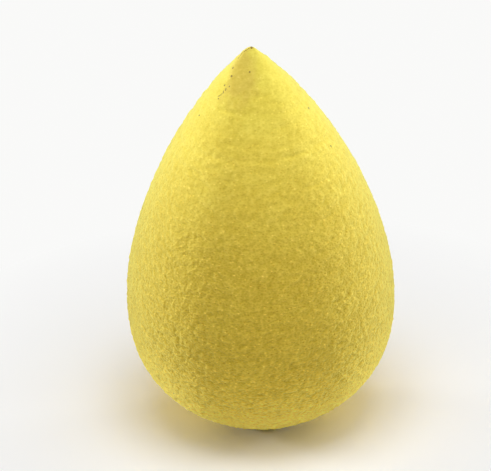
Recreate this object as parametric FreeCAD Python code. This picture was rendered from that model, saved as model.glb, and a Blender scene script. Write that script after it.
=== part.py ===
import FreeCAD, Part
import math
import os

# Teardrop makeup sponge, ground from one block of soft open-cell foam.
# Millimetres and degrees. The origin is the centre of the flat foot, +Z runs up through the tip,
# and -Y is the side that carries the flat on the tip.

# Overall size
height = 60.0
belly_diameter = 40.0

# Bowl, from the flat foot to the widest ring
foot_diameter = 12.0
foot_edge_angle = 26.0
belly_height = 19.4
belly_curve_radius = 31.0

# Shoulder and tip, from the widest ring to the point
tip_half_angle = 48.7
tip_radius = 0.5

# Flat ground on the front of the tip, turned a little to the left
flat_turn = 20.0
flat_bite = 0.35
flat_extra_slope = 3.0

belly_radius = belly_diameter / 2
foot_radius = foot_diameter / 2


def profile_point(radius, level):
    """A point of the half section, which is drawn in the XZ plane."""
    return FreeCAD.Vector(radius, 0, level)


def conic_arc(start, corner, end, reach, rise):
    """A conic from start to end, tangent to the lines to their common corner.

    Its middle weight gives it the belly's curve radius where it meets the widest ring: reach is the
    arc's width, and rise is the length of its tangent on the widest ring.
    """
    curve = Part.BezierCurve()
    curve.setPoles([start, corner, end])
    middle_pole = 2
    curve.setWeight(middle_pole, math.sqrt(reach * belly_curve_radius / 2) / rise)
    return curve.toShape()


def bowl_arc(foot_edge, widest):
    """The round underside, from the edge of the foot to the widest ring."""
    reach = belly_radius - foot_radius
    corner_level = reach * math.tan(math.radians(foot_edge_angle))
    corner = profile_point(belly_radius, corner_level)
    return conic_arc(foot_edge, corner, widest, reach, belly_height - corner_level)


def shoulder_arc(widest, tip_edge):
    """The long side, from the widest ring to where the rounded tip begins."""
    reach = belly_radius - tip_edge.x
    corner_level = tip_edge.z - reach / math.tan(math.radians(tip_half_angle))
    corner = profile_point(belly_radius, corner_level)
    return conic_arc(widest, corner, tip_edge, reach, corner_level - belly_height)


def tip_arc(tip_edge, tip):
    """The small rounding of the point itself."""
    middle_angle = math.radians((tip_half_angle + 90.0) / 2)
    middle = profile_point(
        tip_radius * math.cos(middle_angle),
        height - tip_radius + tip_radius * math.sin(middle_angle),
    )
    return Part.Arc(tip_edge, middle, tip).toShape()


def half_section():
    """The closed half section, with its straight side on the axis."""
    edge_angle = math.radians(tip_half_angle)
    foot_centre = profile_point(0, 0)
    foot_edge = profile_point(foot_radius, 0)
    widest = profile_point(belly_radius, belly_height)
    tip_edge = profile_point(
        tip_radius * math.cos(edge_angle),
        height - tip_radius + tip_radius * math.sin(edge_angle),
    )
    tip = profile_point(0, height)
    return Part.Wire(
        [
            Part.makeLine(foot_centre, foot_edge),
            bowl_arc(foot_edge, widest),
            shoulder_arc(widest, tip_edge),
            tip_arc(tip_edge, tip),
            Part.makeLine(tip, foot_centre),
        ]
    )


def tip_flat_cutter():
    """The foam that grinding took off the front of the tip: everything beyond one sloping plane."""
    slope = math.radians(tip_half_angle - flat_extra_slope)
    turn = math.radians(flat_turn)
    outward = FreeCAD.Vector(
        -math.sin(turn) * math.cos(slope),
        -math.cos(turn) * math.cos(slope),
        math.sin(slope),
    )
    side = height + belly_diameter
    block = Part.makeBox(side, side, side, FreeCAD.Vector(-side / 2, -side / 2, 0))
    block.Placement = FreeCAD.Placement(
        FreeCAD.Vector(0, 0, height - flat_bite),
        FreeCAD.Rotation(FreeCAD.Vector(0, 0, 1), outward),
    )
    return block


def foam_body():
    """The whole sponge: the half section turned about its axis, with the flat taken off the tip."""
    axis_point = FreeCAD.Vector(0, 0, 0)
    up = FreeCAD.Vector(0, 0, 1)
    turned = Part.Face(half_section()).revolve(axis_point, up, 360)
    return turned.cut(tip_flat_cutter())


os.makedirs("parts", exist_ok=True)
foam_body().exportStep("parts/foam_body.step")
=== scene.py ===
"""A yellow teardrop makeup sponge of ground open-cell foam, on a pale floor in soft studio light."""

import math
from collections import namedtuple

import bpy
import numpy as np
from mathutils import Matrix, Vector, noise


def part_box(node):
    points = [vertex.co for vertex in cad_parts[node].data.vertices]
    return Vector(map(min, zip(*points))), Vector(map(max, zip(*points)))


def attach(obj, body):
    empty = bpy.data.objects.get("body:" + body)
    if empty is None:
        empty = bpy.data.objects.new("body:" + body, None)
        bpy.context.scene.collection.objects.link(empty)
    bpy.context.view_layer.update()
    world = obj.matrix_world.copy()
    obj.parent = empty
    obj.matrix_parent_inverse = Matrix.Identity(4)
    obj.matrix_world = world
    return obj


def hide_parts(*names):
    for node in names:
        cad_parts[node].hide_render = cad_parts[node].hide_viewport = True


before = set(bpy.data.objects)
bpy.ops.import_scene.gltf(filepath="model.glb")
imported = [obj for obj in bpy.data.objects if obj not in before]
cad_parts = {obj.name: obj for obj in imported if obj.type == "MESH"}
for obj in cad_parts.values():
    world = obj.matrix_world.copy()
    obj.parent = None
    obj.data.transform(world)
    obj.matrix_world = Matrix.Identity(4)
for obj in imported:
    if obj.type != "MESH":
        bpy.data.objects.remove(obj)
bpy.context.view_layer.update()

MM = 0.001
NODE = "foam_body"
Body = namedtuple("Body", "points masks")

# Half section of the sponge, as in the solid but for a sharper tip
node_low, node_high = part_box(NODE)
HEIGHT = 60.0 * MM
BELLY_RADIUS = (node_high.x - node_low.x) / 2
BELLY_HEIGHT = 19.4 * MM
BELLY_CURVE_RADIUS = 31.0 * MM
FOOT_RADIUS = 6.0 * MM
FOOT_EDGE_ANGLE = math.radians(26.0)
TIP_HALF_ANGLE = math.radians(48.7)
TIP_RADIUS = 0.25 * MM
POINTS_PER_ARC = 400

# Flat on the front of the tip, as in the solid, with its rim worn soft
FLAT_TURN = math.radians(20.0)
FLAT_BITE = 0.35 * MM
FLAT_EXTRA_SLOPE = math.radians(3.0)
FLAT_SOFT_RIM = 0.14 * MM

# The point leans a little to the left
LEAN_START = 32.7 * MM
LEAN_AT_TIP = 0.44 * MM

# Mesh: a cube's faces drawn out over the sponge, each divided into square cells
CELLS = 128
LEVEL_FOOT = 0.001 * MM
AXES = 3

# Sheet on which each of the cube's faces has its own square, with a margin
SHEET_COLUMNS = 3
SHEET_ROWS = 2
SHEET_MARGIN = 0.02

# Relief of the ground foam: slow lumps, then spacing and depth of dimples, shallower towards the tip
LUMP_SPACING = 11.0 * MM
LUMP_DEPTH = 0.07 * MM
DIMPLES = (
    (1.7 * MM, 0.02 * MM),
    (0.9 * MM, 0.10 * MM),
    (0.55 * MM, 0.13 * MM),
)
RELIEF_AT_FOOT = 1.3
RELIEF_AT_TIP = 0.5

# Level wrinkles above the belly, which fade in between two heights
WRINKLE_START = 22.0 * MM
WRINKLE_FULL = 40.0 * MM
WRINKLE_SPACING = 2.6 * MM
WRINKLE_SQUEEZE = (1.0, 1.0, 4.5)
WRINKLE_DEPTH = 0.12 * MM

# Grinding drew the foam's grain out level, so its pattern is squeezed in height
GRAIN_SQUEEZE = (1.0, 1.0, 1.5)

# Grinding rings on the upper half: height, depth and a tilt that sets each ring a little askew
RINGS = (
    (52.4 * MM, 0.27 * MM, -1.0),
    (50.6 * MM, 0.04 * MM, 2.0),
    (48.6 * MM, 0.05 * MM, -2.0),
    (47.0 * MM, 0.19 * MM, 1.0),
    (44.4 * MM, 0.04 * MM, -1.0),
    (42.9 * MM, 0.05 * MM, 1.0),
    (38.6 * MM, 0.05 * MM, -0.5),
)
RING_WIDTH = 0.27 * MM
RING_WANDER = 0.25 * MM
RING_WANDER_SPACING = 5.0 * MM
RING_SHOWN = 0.75
RING_PATCHY = 0.9

# Dark specks of lint and dirt: azimuth, 0 in front and minus to the left, height and radius
SPECKS = (
    (96.0, 52.8 * MM, 0.32 * MM),
    (71.5, 51.2 * MM, 0.24 * MM),
    (66.7, 46.1 * MM, 0.20 * MM),
    (88.0, 32.3 * MM, 0.38 * MM),
    (85.0, 31.6 * MM, 0.28 * MM),
    (83.8, 26.5 * MM, 0.34 * MM),
    (-83.6, 26.8 * MM, 0.34 * MM),
    (-45.8, 10.7 * MM, 0.18 * MM),
    (-67.8, 50.8 * MM, 0.16 * MM),
    (-8.5, 57.3 * MM, 0.16 * MM),
    (-64.0, 57.2 * MM, 0.20 * MM),
    (-51.0, 56.4 * MM, 0.20 * MM),
    (-44.0, 55.3 * MM, 0.16 * MM),
    (-56.0, 55.2 * MM, 0.18 * MM),
    (0.0, 59.9 * MM, 0.22 * MM),
    (128.0, 44.0 * MM, 0.20 * MM),
    (163.0, 33.0 * MM, 0.22 * MM),
    (-151.0, 49.0 * MM, 0.18 * MM),
    (-122.0, 21.0 * MM, 0.22 * MM),
    (178.0, 13.0 * MM, 0.18 * MM),
)
# Cracks beside the tip's flat, drawn as painted shade: wavering rows of dark specks between two places
CRACKS = (
    ((-48.5, 54.9 * MM), (-53.5, 53.6 * MM)),
    ((-78.0, 58.3 * MM), (-80.0, 59.7 * MM)),
)
CRACK_SPECKS = 9
CRACK_RADII = (0.15 * MM, 0.10 * MM, 0.13 * MM)
CRACK_WAVER = 1.5

# Painted shade on the front of the tip, over its flat: its left and right edge as azimuths at heights,
# and how softly each edge fades
FLAT_SHADE_HEIGHTS = (52.8 * MM, 54.4 * MM, 56.3 * MM, 57.3 * MM, 58.4 * MM, 59.9 * MM)
FLAT_SHADE_LEFT = (-58.0, -52.0, -60.0, -80.0, -105.0, -130.0)
FLAT_SHADE_RIGHT = (-4.0, 6.0, 17.0, 22.0, 28.0, 40.0)
FLAT_SHADE_LEFT_FADE = 0.6 * MM
FLAT_SHADE_RIGHT_FADE = 1.4 * MM
FLAT_SHADE_LOW_FADE = 2.2 * MM
FLAT_SHADE_RAGGED = 0.5
FLAT_SHADE_RAGGED_SPACING = 1.3 * MM
FLAT_SHADE_LEAST_REACH = 0.4 * MM

# Camera, in the photograph's frame
PICTURE_WIDTH = 491
PICTURE_HEIGHT = 471
SPONGE_PIXEL = (259.4, 245.7)
CAMERA_TARGET = Vector((0, 0, 28.0 * MM))
CAMERA_DISTANCE = 300.0 * MM
CAMERA_ELEVATION = math.radians(28.0)
CAMERA_ROLL = math.radians(1.54)
PIXELS_PER_MM = 6.75
SENSOR_WIDTH = 36.0

# Foam colours from the foot up to the tip, as linear values: the foam's own yellow with painted light
# and shade on it, lighter at the foot as painted floor light on the underside, darker round the belly as
# painted shade, and lighter and more lemon towards the tip as painted light from above
FOAM_TONES_AND_PAINTED_LIGHT = (
    (0.00, (1.00, 0.720, 0.066)),
    (0.15, (0.96, 0.660, 0.056)),
    (0.33, (0.69, 0.478, 0.037)),
    (0.55, (0.68, 0.487, 0.045)),
    (0.80, (0.86, 0.672, 0.083)),
    (1.00, (0.89, 0.755, 0.105)),
)

# Plain colours; white leaves a tone as it is
WHITE = (1.0, 1.0, 1.0)
BLACK = (0.0, 0.0, 0.0)

# Tones that multiply the foam's: painted shade in the pores with painted highlights on the cell walls,
# painted shade in pits, painted highlights as pale flecks, painted shade in the dimples with painted
# highlights on their crests, slow patches of the foam's own tone, and painted shade on the tip's flat
PORE_SHADE_TONES = ((0.0, (0.80, 0.725, 0.21)), (0.45, WHITE), (0.9, (1.25, 1.29, 1.75)))
PIT_SHADE_TONES = ((0.13, (0.74, 0.58, 0.08)), (0.25, WHITE))
FLECK_HIGHLIGHT_TONES = ((0.13, (1.42, 1.47, 2.15)), (0.24, WHITE))
LEVEL_DIMPLE = 0.5
DIMPLE_SHADE_TONES = ((0.0, (0.75, 0.70, 0.30)), (LEVEL_DIMPLE, WHITE), (1.0, (1.22, 1.26, 1.56)))
PATCH_TONES = ((0.3, (0.98, 0.96, 0.90)), (0.7, (1.02, 1.03, 1.08)))
# Painted shade on the tip's flat, darker and more ochre
FLAT_SHADE_TONE = (0.88, 0.81, 0.92)

# Specks: their colour, dark dirt on the single specks and painted shade in the cracks, and how it fades
# out at their edge
DIRT_AND_CRACK_SHADE_COLOUR = (0.28, 0.16, 0.04)
SPECK_EDGE = ((0.6, WHITE), (1.0, BLACK))

# Spacings of the foam's patterns, and the share of the grain's tones, its painted shade and highlights,
# at the foot and at the tip
PATCH_SPACING = 6.0 * MM
PATCH_DETAIL = 1.0
PATCH_ROUGHNESS = 0.5
PORE_SPACING = 0.4 * MM
PIT_SPACING = 0.75 * MM
FLECK_SPACING = 0.83 * MM
GRAIN_SHADE_AT_FOOT = 1.0
GRAIN_SHADE_AT_TIP = 0.18

# Fluffy bump of the foam, which fades out towards the tip
FLUFF_SPACING = 0.35 * MM
FLUFF_DETAIL = 2.0
FLUFF_ROUGHNESS = 0.6
FLUFF_DEPTH = 0.20 * MM
FLUFF_AT_FOOT = 1.0
FLUFF_AT_TIP = 0.0

# How the foam shines: barely, with a pale soft sheen
FOAM_SPECULAR = 0.1
SHEEN_WEIGHT = 1.0
SHEEN_ROUGHNESS = 0.55
SHEEN_TINT = (1.0, 1.0, 0.31)
PORE_ROUGHNESS = ((0.0, WHITE), (0.9, (0.88, 0.88, 0.88)))

# Floor and background: the camera sees the floor turn into the background between two distances
FLOOR_SIZE = 4.0
FLOOR_COLOUR = (0.96, 0.965, 0.985)
FLOOR_ROUGHNESS = 1.0
FLOOR_SPECULAR = 0.0
FLOOR_FADE_START = 22.0 * MM
FLOOR_FADE_END = 65.0 * MM
BACKGROUND = (0.95, 0.95, 0.94)

# Lamps: distance and size of the near and of the low ones, then each one's azimuth, elevation and share
NEAR = (0.45, 0.30)
LOW = (1.2, 0.24)
LAMPS = (
    ("top_lamp", 0.0, 80.0, NEAR, 0.44),
    ("right_high_lamp", 90.0, 60.0, NEAR, 0.045),
    ("front_left_lamp", 315.0, 60.0, NEAR, 0.15),
    ("front_right_lamp", 45.0, 60.0, NEAR, 0.175),
    ("left_low_lamp", 248.0, 6.5, LOW, 0.084),
    ("right_low_lamp", 95.0, 6.5, LOW, 0.016),
    ("right_back_lamp", 119.0, 6.5, LOW, 0.063),
)

# Sockets of a mix node that mixes colours, and where a ramp's new stop starts out
MIX_SHARE = 0
MIX_FIRST = 6
MIX_SECOND = 7
MIX_RESULT = 2
NEW_STOP = 0.5


def conic_arc(start, corner, end, weight):
    """Points of a conic from start to end, tangent there to the lines to the corner."""
    t = np.linspace(0.0, 1.0, POINTS_PER_ARC)[:, None]
    first = (1 - t) ** 2
    middle = 2 * weight * t * (1 - t)
    last = t**2
    return (first * start + middle * corner + last * end) / (first + middle + last)


def tip_arc(edge_angle):
    """Points of the small rounding of the tip, from the axis outwards."""
    angle = np.linspace(math.pi / 2, edge_angle, POINTS_PER_ARC)
    level = HEIGHT - TIP_RADIUS + TIP_RADIUS * np.sin(angle)
    return np.column_stack([TIP_RADIUS * np.cos(angle), level])


def half_section():
    """Radius and height of the half section, from the tip down to the centre of the foot."""
    tip = tip_arc(TIP_HALF_ANGLE)
    tip_edge = tip[-1]
    widest = np.array([BELLY_RADIUS, BELLY_HEIGHT])
    foot_edge = np.array([FOOT_RADIUS, 0.0])
    shoulder_reach = BELLY_RADIUS - tip_edge[0]
    shoulder_corner = np.array([BELLY_RADIUS, tip_edge[1] - shoulder_reach / math.tan(TIP_HALF_ANGLE)])
    shoulder_weight = conic_weight(shoulder_reach, shoulder_corner[1] - BELLY_HEIGHT)
    bowl_reach = BELLY_RADIUS - FOOT_RADIUS
    bowl_corner = np.array([BELLY_RADIUS, bowl_reach * math.tan(FOOT_EDGE_ANGLE)])
    bowl_weight = conic_weight(bowl_reach, BELLY_HEIGHT - bowl_corner[1])
    shoulder = conic_arc(tip_edge, shoulder_corner, widest, shoulder_weight)
    bowl = conic_arc(widest, bowl_corner, foot_edge, bowl_weight)
    foot = np.linspace(foot_edge, np.zeros(2), POINTS_PER_ARC)
    return np.vstack([tip, shoulder[1:], bowl[1:], foot[1:]])


def conic_weight(reach, rise):
    """The weight that gives an arc the belly's curve radius at the widest ring."""
    return math.sqrt(reach * BELLY_CURVE_RADIUS / 2) / rise


def cube_shell():
    """Directions and quads of a divided cube, and a picture place for each quad's corners."""
    steps = np.arange(CELLS + 1)
    first, second = (grid.ravel() for grid in np.meshgrid(steps, steps, indexing="ij"))
    lattice = []
    for axis in range(AXES):
        for side in (0, CELLS):
            face = np.empty((len(first), AXES), int)
            face[:, axis] = side
            face[:, (axis + 1) % AXES] = first if side else second
            face[:, (axis + 2) % AXES] = second if side else first
            lattice.append(face)
    corners, index = np.unique(np.vstack(lattice), axis=0, return_inverse=True)
    index = index.reshape(len(lattice), CELLS + 1, CELLS + 1)
    around = (index[:, :-1, :-1], index[:, 1:, :-1], index[:, 1:, 1:], index[:, :-1, 1:])
    quads = np.stack(around, axis=-1).reshape(-1, len(around))
    warped = np.tan((2 * corners / CELLS - 1) * math.pi / 4)
    directions = warped / np.linalg.norm(warped, axis=1)[:, None]
    return directions, quads, shell_uv()


def shell_uv():
    """Places of the corners of each face's quads on the sheet."""
    span = SHEET_MARGIN + (1 - 2 * SHEET_MARGIN) * np.arange(CELLS + 1) / CELLS
    u, v = np.meshgrid(span, span, indexing="ij")
    sheets = []
    for face in range(SHEET_COLUMNS * SHEET_ROWS):
        across = (u + face % SHEET_COLUMNS) / SHEET_COLUMNS
        upward = (v + face // SHEET_COLUMNS) / SHEET_ROWS
        place = np.stack([across, upward], axis=-1)
        sheets.append(np.stack([place[:-1, :-1], place[1:, :-1], place[1:, 1:], place[:-1, 1:]], axis=2))
    return np.array(sheets).reshape(-1, 2)


def body_line():
    """The half section, and the length along it of each of its points."""
    section = half_section()
    steps = np.linalg.norm(np.diff(section, axis=0), axis=1)
    return section, np.concatenate([[0.0], np.cumsum(steps)])


def smooth_body(directions):
    """Points and outward normals of the sponge before its relief."""
    section, length = body_line()
    slope = np.gradient(section, length, axis=0)
    place = np.arccos(np.clip(directions[:, 2], -1, 1)) / math.pi * length[-1]
    radius = np.interp(place, length, section[:, 0])
    level = np.interp(place, length, section[:, 1])
    outward = -np.interp(place, length, slope[:, 1])
    upward = np.interp(place, length, slope[:, 0])
    azimuth = np.arctan2(directions[:, 1], directions[:, 0])
    around = np.column_stack([np.cos(azimuth), np.sin(azimuth)])
    points = np.column_stack([around * radius[:, None], level])
    normals = np.column_stack([around * outward[:, None], upward])
    return points, normals / np.linalg.norm(normals, axis=1)[:, None]


def flat_outward():
    """The direction that the flat on the tip faces."""
    slope = TIP_HALF_ANGLE - FLAT_EXTRA_SLOPE
    return np.array(
        [
            -math.sin(FLAT_TURN) * math.cos(slope),
            -math.cos(FLAT_TURN) * math.cos(slope),
            math.sin(slope),
        ]
    )


def beyond_flat(points):
    """How far each point of the smooth body stands beyond the tip's flat."""
    return (points - np.array([0, 0, HEIGHT - FLAT_BITE])) @ flat_outward()


def press_flat(points):
    """Takes the foam beyond the tip's flat back to it, with a soft rim."""
    over = beyond_flat(points)
    pressed = (over + np.sqrt(over**2 + FLAT_SOFT_RIM**2)) / 2
    return points - pressed[:, None] * flat_outward()


def lean_tip(points):
    """Shifts the upper part to the left, the more the higher."""
    share = np.clip((points[:, 2] - LEAN_START) / (HEIGHT - LEAN_START), 0, None)
    points[:, 0] -= LEAN_AT_TIP * share**2
    return points


def noise_at(points, spacing, squeeze=(1.0, 1.0, 1.0)):
    """Smooth noise from -1 to 1 at each point, with features of that spacing."""
    return np.array([noise.noise(Vector(place)) for place in points * squeeze / spacing])


def azimuth_of(points):
    """Degrees round the axis of each point, 0 in front and plus to the right."""
    return np.degrees(np.arctan2(points[:, 0], -points[:, 1]))


def ring_grooves(points):
    """The faint grooves that grinding left round the upper half."""
    wander = RING_WANDER * noise_at(points, RING_WANDER_SPACING)
    fade = np.clip(RING_SHOWN + RING_PATCHY * noise_at(-points, RING_WANDER_SPACING), 0, 1)
    groove = np.zeros(len(points))
    for level, depth, tilt in RINGS:
        across = points[:, 2] - level - wander - points[:, 0] * math.tan(math.radians(tilt))
        groove += depth * np.exp(-((across / RING_WIDTH) ** 2))
    return groove * fade


def wrinkles(points):
    """Height of the level wrinkles at each point, which start above the belly."""
    share = np.clip((points[:, 2] - WRINKLE_START) / (WRINKLE_FULL - WRINKLE_START), 0, 1)
    return WRINKLE_DEPTH * share * noise_at(points, WRINKLE_SPACING, WRINKLE_SQUEEZE)


def dimples(points):
    """Height of the dimples at each point, before they fade towards the tip."""
    return sum(depth * noise_at(points, spacing, GRAIN_SQUEEZE) for spacing, depth in DIMPLES)


def relief(points, dimple_height):
    """Height of the foam's surface above the smooth body at each point."""
    share = RELIEF_AT_FOOT + (RELIEF_AT_TIP - RELIEF_AT_FOOT) * points[:, 2] / HEIGHT
    slow = LUMP_DEPTH * noise_at(points, LUMP_SPACING)
    return slow + share * dimple_height + wrinkles(points) - ring_grooves(points)


def tip_flat_shade(points):
    """From 0 to 1, the painted shade on the front of the tip, over its flat."""
    azimuth = azimuth_of(points)
    level = points[:, 2]
    reach = np.maximum(np.hypot(points[:, 0], points[:, 1]), FLAT_SHADE_LEAST_REACH)
    ragged = FLAT_SHADE_RAGGED * noise_at(points, FLAT_SHADE_RAGGED_SPACING)
    past_left = np.radians(azimuth - np.interp(level, FLAT_SHADE_HEIGHTS, FLAT_SHADE_LEFT)) * reach
    past_right = np.radians(np.interp(level, FLAT_SHADE_HEIGHTS, FLAT_SHADE_RIGHT) - azimuth) * reach
    left = np.clip(past_left / FLAT_SHADE_LEFT_FADE, 0, 1)
    right = np.clip(past_right / FLAT_SHADE_RIGHT_FADE + ragged, 0, 1)
    low = np.clip((level - FLAT_SHADE_HEIGHTS[0]) / FLAT_SHADE_LOW_FADE + ragged, 0, 1)
    return left * right * low


def speck_list():
    """Azimuth, height and radius of each speck: the single ones, then those of the cracks."""
    specks = list(SPECKS)
    for start, end in CRACKS:
        for number, (azimuth, level) in enumerate(np.linspace(start, end, CRACK_SPECKS)):
            aside = CRACK_WAVER * math.sin(number * number)
            specks.append((azimuth + aside, level, CRACK_RADII[number % len(CRACK_RADII)]))
    return specks


def directions_at(azimuths, levels):
    """The divided cube's directions that end up at these azimuths and heights."""
    section, length = body_line()
    polar = np.interp(levels, section[::-1, 1], length[::-1]) / length[-1] * math.pi
    turn = np.radians(azimuths)
    across = np.column_stack([np.sin(turn), -np.cos(turn)]) * np.sin(polar)[:, None]
    return np.column_stack([across, np.cos(polar)])


def speck_places():
    """The place of each speck on the finished surface, and its radius."""
    azimuths, levels, radii = np.array(speck_list()).T
    body = foam_body(directions_at(azimuths, levels))
    return list(zip(body.points, radii))


def foam_body(directions):
    """The sponge's surface with its relief, and its masks, in these directions."""
    smooth, normals = smooth_body(directions)
    dimple_height = dimples(smooth)
    height = np.where(smooth[:, 2] < LEVEL_FOOT, 0.0, relief(smooth, dimple_height))
    # Mask of the painted shade on the tip's flat
    flat_shade = tip_flat_shade(smooth)
    points = lean_tip(press_flat(smooth)) + normals * height[:, None]
    points[:, 2] = np.maximum(points[:, 2], 0.0)
    full_depth = sum(depth for spacing, depth in DIMPLES)
    # high: 0 deep in the dimples, 1 on their crests; it drives painted shade in the dimples and painted
    # highlights on the crests
    high = np.clip(LEVEL_DIMPLE + dimple_height / full_depth, 0, 1)
    return Body(points, {"flat_shade": flat_shade, "high": high})


def foam_mesh():
    """The sponge's closed mesh, its relief in real geometry."""
    directions, quads, uv = cube_shell()
    body = foam_body(directions)
    mesh = bpy.data.meshes.new("foam_sponge")
    mesh.from_pydata(body.points.tolist(), [], quads.tolist())
    mesh.uv_layers.new(name="OFBake").data.foreach_set("uv", uv.ravel())
    mesh.polygons.foreach_set("use_smooth", np.ones(len(quads), bool))
    for name, mask in body.masks.items():
        mesh.attributes.new(name, "FLOAT", "POINT").data.foreach_set("value", mask)
    mesh.update()
    return mesh


class Nodes:
    """Short ways to add and join a material's nodes."""

    def __init__(self, material):
        material.use_nodes = True
        self.tree = material.node_tree
        self.shader = self.tree.nodes["Principled BSDF"]
        self.object_place = self.add("ShaderNodeTexCoord").outputs["Object"]

    def add(self, kind, **settings):
        node = self.tree.nodes.new(kind)
        for name, value in settings.items():
            setattr(node, name, value)
        return node

    def join(self, output, target):
        self.tree.links.new(output, target)

    def grain_place(self):
        """The place on the object, squeezed as the foam's grain is."""
        node = self.add("ShaderNodeMapping")
        node.inputs["Scale"].default_value = GRAIN_SQUEEZE
        self.join(self.object_place, node.inputs["Vector"])
        return node.outputs["Vector"]

    def noise(self, spacing, detail, roughness):
        """Smooth noise from 0 to 1 with features of that spacing."""
        node = self.add("ShaderNodeTexNoise")
        node.inputs["Scale"].default_value = 1 / spacing
        node.inputs["Detail"].default_value = detail
        node.inputs["Roughness"].default_value = roughness
        self.join(self.grain_place(), node.inputs["Vector"])
        return node.outputs["Fac"]

    def cells(self, spacing):
        """Distance from the middle of the nearest foam cell, as a share of their spacing."""
        node = self.add("ShaderNodeTexVoronoi")
        node.inputs["Scale"].default_value = 1 / spacing
        self.join(self.grain_place(), node.inputs["Vector"])
        return node.outputs["Distance"]

    def math(self, kind, first, second):
        node = self.add("ShaderNodeMath", operation=kind)
        self.feed(first, node.inputs[0])
        self.feed(second, node.inputs[1])
        return node.outputs["Value"]

    def nearness(self, places):
        """Distance to the nearest of some places as a share of that place's radius, up to 1."""
        nearest = 1.0
        for place, radius in places:
            gap = self.add("ShaderNodeVectorMath", operation="DISTANCE")
            gap.inputs[1].default_value = place
            self.join(self.object_place, gap.inputs[0])
            nearest = self.math("MINIMUM", nearest, self.math("DIVIDE", gap.outputs["Value"], radius))
        return nearest

    def rise(self, at_foot, at_tip):
        """A value that goes evenly from the foot to the tip."""
        parts = self.add("ShaderNodeSeparateXYZ")
        self.join(self.object_place, parts.inputs["Vector"])
        return self.span(parts.outputs["Z"], 0.0, HEIGHT, at_foot, at_tip)

    def span(self, value, start, end, at_start=0.0, at_end=1.0):
        """A value between two limits, taken to another pair of limits."""
        node = self.add("ShaderNodeMapRange")
        node.inputs["From Min"].default_value = start
        node.inputs["From Max"].default_value = end
        node.inputs["To Min"].default_value = at_start
        node.inputs["To Max"].default_value = at_end
        self.join(value, node.inputs["Value"])
        return node.outputs["Result"]

    def mask(self, name):
        """One of the mesh's own masks."""
        return self.add("ShaderNodeAttribute", attribute_name=name).outputs["Fac"]

    def mix(self, kind, share, first, second):
        """Two colours mixed; each may be an output or a plain value."""
        node = self.add("ShaderNodeMix", data_type="RGBA", blend_type=kind)
        for socket, value in ((MIX_SHARE, share), (MIX_FIRST, first), (MIX_SECOND, second)):
            self.feed(value, node.inputs[socket])
        return node.outputs[MIX_RESULT]

    def feed(self, value, target):
        """Gives a socket another node's output, a colour or a plain number."""
        if isinstance(value, bpy.types.NodeSocket):
            self.join(value, target)
        elif isinstance(value, tuple):
            target.default_value = (*value, 1.0)
        else:
            target.default_value = value

    def ramp(self, value, *stops):
        """A colour that follows a value from stop to stop."""
        node = self.add("ShaderNodeValToRGB")
        elements = node.color_ramp.elements
        while len(elements) < len(stops):
            elements.new(NEW_STOP)
        for element, (place, colour) in zip(elements, stops):
            element.position = place
            element.color = (*colour, 1.0)
        self.join(value, node.inputs["Fac"])
        return node.outputs["Color"]


def foam_colour(nodes, pores):
    """Ochre painted shade in the pores, pits and dimples, lemon painted highlights on the cell walls,
    flecks and crests, painted light at the foot and tip, painted shade round the belly and on the tip's
    flat, dark specks of dirt and painted shade in the cracks.
    """
    # The foam's own yellow, with painted light at the foot and the tip and painted shade round the belly
    tone = nodes.ramp(nodes.rise(0.0, 1.0), *FOAM_TONES_AND_PAINTED_LIGHT)
    patches = nodes.ramp(nodes.noise(PATCH_SPACING, PATCH_DETAIL, PATCH_ROUGHNESS), *PATCH_TONES)
    tone = nodes.mix("MULTIPLY", 1.0, tone, patches)
    # Painted shade in the dimples and painted highlights on their crests
    dimple_shade = nodes.ramp(nodes.mask("high"), *DIMPLE_SHADE_TONES)
    # The grain: painted shade in the pores, dimples and pits, painted highlights on the cell walls,
    # crests and flecks
    grain = nodes.mix("MULTIPLY", 1.0, nodes.ramp(pores, *PORE_SHADE_TONES), dimple_shade)
    for spacing, tones in ((PIT_SPACING, PIT_SHADE_TONES), (FLECK_SPACING, FLECK_HIGHLIGHT_TONES)):
        grain = nodes.mix("MULTIPLY", 1.0, grain, nodes.ramp(nodes.cells(spacing), *tones))
    # The grain's painted shade and highlights, strong at the foot and faint at the tip
    colour = nodes.mix("MULTIPLY", nodes.rise(GRAIN_SHADE_AT_FOOT, GRAIN_SHADE_AT_TIP), tone, grain)
    # Painted shade on the tip's flat
    colour = nodes.mix("MULTIPLY", nodes.mask("flat_shade"), colour, FLAT_SHADE_TONE)
    # Dark specks: dirt on the single ones, painted shade in the cracks
    dark = nodes.ramp(nodes.nearness(speck_places()), *SPECK_EDGE)
    return nodes.mix("MIX", dark, colour, DIRT_AND_CRACK_SHADE_COLOUR)


def foam_material():
    """Soft ground foam: open pores, a fluffy grain and a pale sheen."""
    material = bpy.data.materials.new("foam")
    nodes = Nodes(material)
    shader = nodes.shader
    shader.inputs["Specular IOR Level"].default_value = FOAM_SPECULAR
    shader.inputs["Sheen Weight"].default_value = SHEEN_WEIGHT
    shader.inputs["Sheen Roughness"].default_value = SHEEN_ROUGHNESS
    shader.inputs["Sheen Tint"].default_value = (*SHEEN_TINT, 1.0)
    pores = nodes.cells(PORE_SPACING)
    nodes.join(nodes.ramp(pores, *PORE_ROUGHNESS), shader.inputs["Roughness"])
    nodes.join(foam_colour(nodes, pores), shader.inputs["Base Color"])
    bump = nodes.add("ShaderNodeBump")
    bump.inputs["Distance"].default_value = FLUFF_DEPTH
    nodes.join(nodes.rise(FLUFF_AT_FOOT, FLUFF_AT_TIP), bump.inputs["Strength"])
    fluff = nodes.noise(FLUFF_SPACING, FLUFF_DETAIL, FLUFF_ROUGHNESS)
    nodes.join(nodes.math("ADD", fluff, pores), bump.inputs["Height"])
    nodes.join(bump.outputs["Normal"], shader.inputs["Normal"])
    return material


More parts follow.
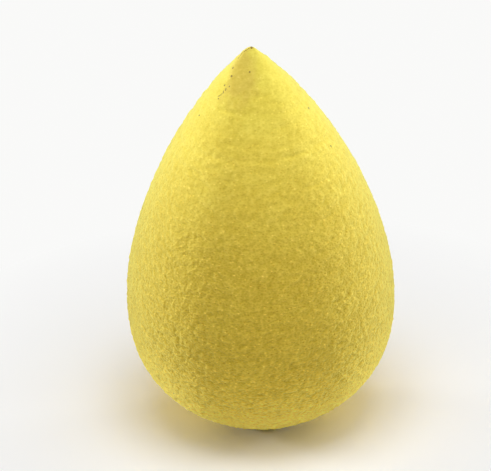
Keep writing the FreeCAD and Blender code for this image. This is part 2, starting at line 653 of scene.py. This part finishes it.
def make_sponge():
    """The sponge itself, which stands for the solid."""
    mesh = foam_mesh()
    sponge = bpy.data.objects.new("foam_sponge", mesh)
    bpy.context.scene.collection.objects.link(sponge)
    mesh.materials.append(foam_material())
    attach(sponge, "root")
    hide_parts(NODE)


def seen_rays(tree):
    """1 for the rays that show the floor and the background, 0 for those that light things."""
    rays = tree.nodes.new("ShaderNodeLightPath")
    total = rays.outputs["Is Camera Ray"]
    for name in ("Is Glossy Ray", "Is Transmission Ray"):
        both = tree.nodes.new("ShaderNodeMath")
        both.use_clamp = True
        tree.links.new(total, both.inputs[0])
        tree.links.new(rays.outputs[name], both.inputs[1])
        total = both.outputs["Value"]
    return total


def make_floor():
    """A plain pale floor."""
    half = FLOOR_SIZE / 2
    mesh = bpy.data.meshes.new("floor")
    corners = [(-half, -half, 0), (half, -half, 0), (half, half, 0), (-half, half, 0)]
    mesh.from_pydata(corners, [], [(0, 1, 2, 3)])
    floor = bpy.data.objects.new("floor", mesh)
    bpy.context.scene.collection.objects.link(floor)
    mesh.materials.append(floor_material())


def floor_material():
    """Matt and pale; farther out the camera sees it turn into the background."""
    material = bpy.data.materials.new("floor")
    nodes = Nodes(material)
    shader = nodes.shader
    shader.inputs["Roughness"].default_value = FLOOR_ROUGHNESS
    shader.inputs["Specular IOR Level"].default_value = FLOOR_SPECULAR
    shader.inputs["Emission Color"].default_value = (*BACKGROUND, 1.0)
    away = nodes.add("ShaderNodeVectorMath", operation="LENGTH")
    nodes.join(nodes.object_place, away.inputs[0])
    farther_out = nodes.span(away.outputs["Value"], FLOOR_FADE_START, FLOOR_FADE_END)
    fade = nodes.math("MULTIPLY", seen_rays(nodes.tree), farther_out)
    nodes.join(nodes.mix("MIX", fade, FLOOR_COLOUR, BLACK), shader.inputs["Base Color"])
    nodes.join(fade, shader.inputs["Emission Strength"])
    return material


def direction_of(azimuth, elevation):
    """Unit vector towards a compass azimuth, 0 in front and 90 to the right, and an elevation."""
    a = math.radians(azimuth)
    e = math.radians(elevation)
    return Vector((math.sin(a) * math.cos(e), -math.cos(a) * math.cos(e), math.sin(e)))


def make_lamps():
    """Round soft boxes; each one's share is the light that it gives a level white patch."""
    for name, azimuth, elevation, (distance, size), share in LAMPS:
        towards = direction_of(azimuth, elevation)
        data = bpy.data.lights.new(name, "AREA")
        data.shape = "DISK"
        data.size = size
        data.energy = share * (math.pi * distance) ** 2 / math.sin(math.radians(elevation))
        lamp = bpy.data.objects.new(name, data)
        lamp.location = towards * distance
        lamp.rotation_mode = "QUATERNION"
        lamp.rotation_quaternion = towards.to_track_quat("Z", "Y")
        lamp.visible_camera = False
        bpy.context.scene.collection.objects.link(lamp)


def make_world():
    """A pale background that the camera sees, and that gives no light of its own."""
    world = bpy.data.worlds.new("studio")
    world.use_nodes = True
    tree = world.node_tree
    background = tree.nodes["Background"]
    background.inputs["Color"].default_value = (*BACKGROUND, 1.0)
    tree.links.new(seen_rays(tree), background.inputs["Strength"])
    bpy.context.scene.world = world


def make_camera():
    """The photograph's view: from above in front, rolled a little."""
    data = bpy.data.cameras.new("camera")
    data.sensor_width = SENSOR_WIDTH
    data.lens = PIXELS_PER_MM * CAMERA_DISTANCE / MM * SENSOR_WIDTH / PICTURE_WIDTH
    camera = bpy.data.objects.new("camera", data)
    back = direction_of(0.0, math.degrees(CAMERA_ELEVATION))
    right = Vector((1, 0, 0))
    up = back.cross(right)
    rolled_right = right * math.cos(CAMERA_ROLL) - up * math.sin(CAMERA_ROLL)
    rolled_up = up * math.cos(CAMERA_ROLL) + right * math.sin(CAMERA_ROLL)
    aside = (PICTURE_WIDTH / 2 - SPONGE_PIXEL[0]) / PIXELS_PER_MM * MM
    above = (SPONGE_PIXEL[1] - PICTURE_HEIGHT / 2) / PIXELS_PER_MM * MM
    place = CAMERA_TARGET + back * CAMERA_DISTANCE
    aim = CAMERA_TARGET + rolled_right * aside + rolled_up * above
    look_back = (place - aim).normalized()
    look_right = rolled_up.cross(look_back).normalized()
    look_up = look_back.cross(look_right)
    turn = Matrix((look_right, look_up, look_back)).transposed().to_4x4()
    camera.matrix_world = Matrix.Translation(place) @ turn
    bpy.context.scene.collection.objects.link(camera)
    bpy.context.scene.camera = camera


make_sponge()
make_floor()
make_lamps()
make_world()
make_camera()
bpy.context.scene.view_settings.view_transform = "Standard"
